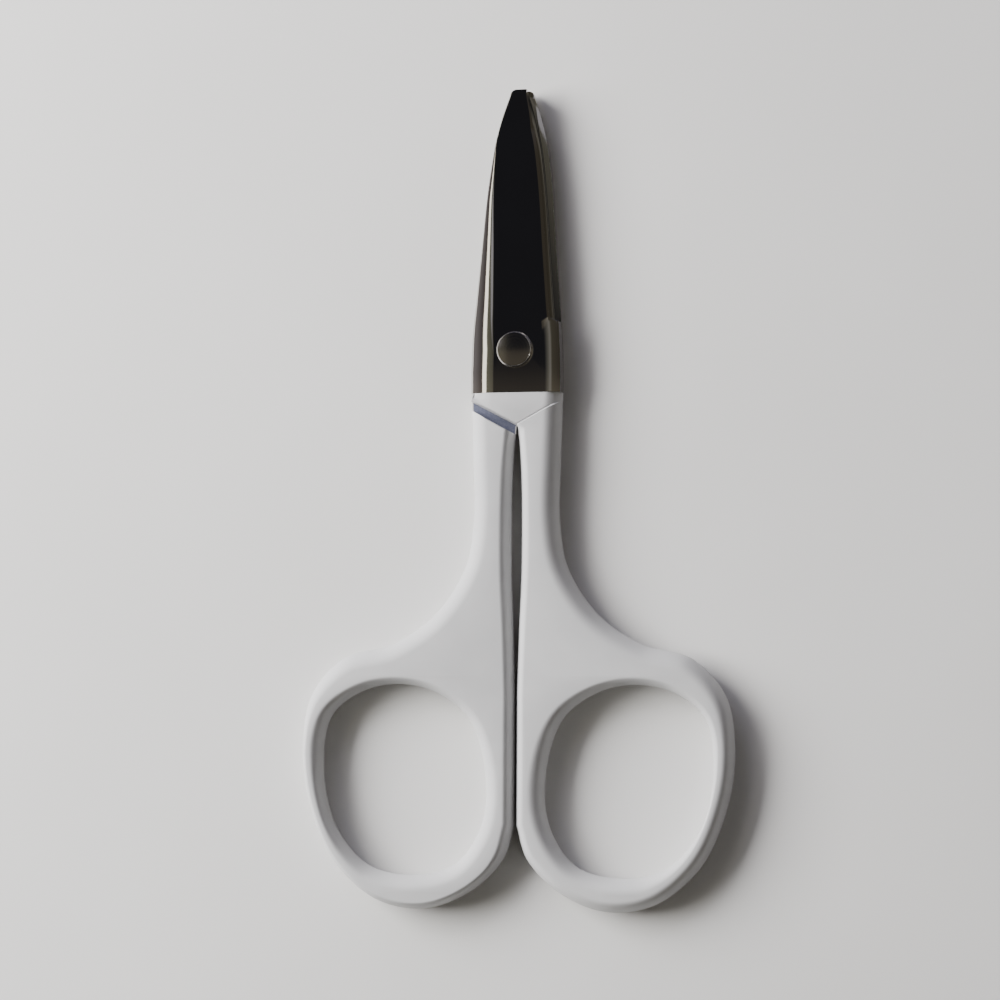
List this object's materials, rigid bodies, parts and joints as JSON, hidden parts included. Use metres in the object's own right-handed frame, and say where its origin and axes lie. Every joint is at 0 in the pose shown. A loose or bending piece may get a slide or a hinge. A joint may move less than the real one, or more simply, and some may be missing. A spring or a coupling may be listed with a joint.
{
  "type": "nail scissors",
  "caption": "Small straight nail scissors with polished steel blades, coated handles with closed oval finger rings and a pivot screw.",
  "frame": {"origin": "on the table under the middle of the closed scissors lying on their back", "axes": "+Y along the scissors towards the tip, +X towards the front half's finger ring, +Z away from the table"},
  "size_m": [0.048, 0.09, 0.0039],
  "materials": {
    "blade_steel": "mirror polished steel",
    "handle_coating": "light grey-white satin coating",
    "screw_steel": "polished steel with fine turning marks"
  },
  "bodies": {
    "front_half": {"front_blade": "blade_steel", "front_coating": "handle_coating"},
    "rear_half": {"rear_blade": "blade_steel", "rear_coating": "handle_coating", "pivot_screw": "screw_steel"}
  },
  "joints": [
    {"name": "pivot", "type": "hinge", "parent": "front_half", "child": "rear_half", "pos_m": [0, 0.016, 0.0017], "axis": [0, 0, -1], "range_deg": [0, 100]}
  ]
}
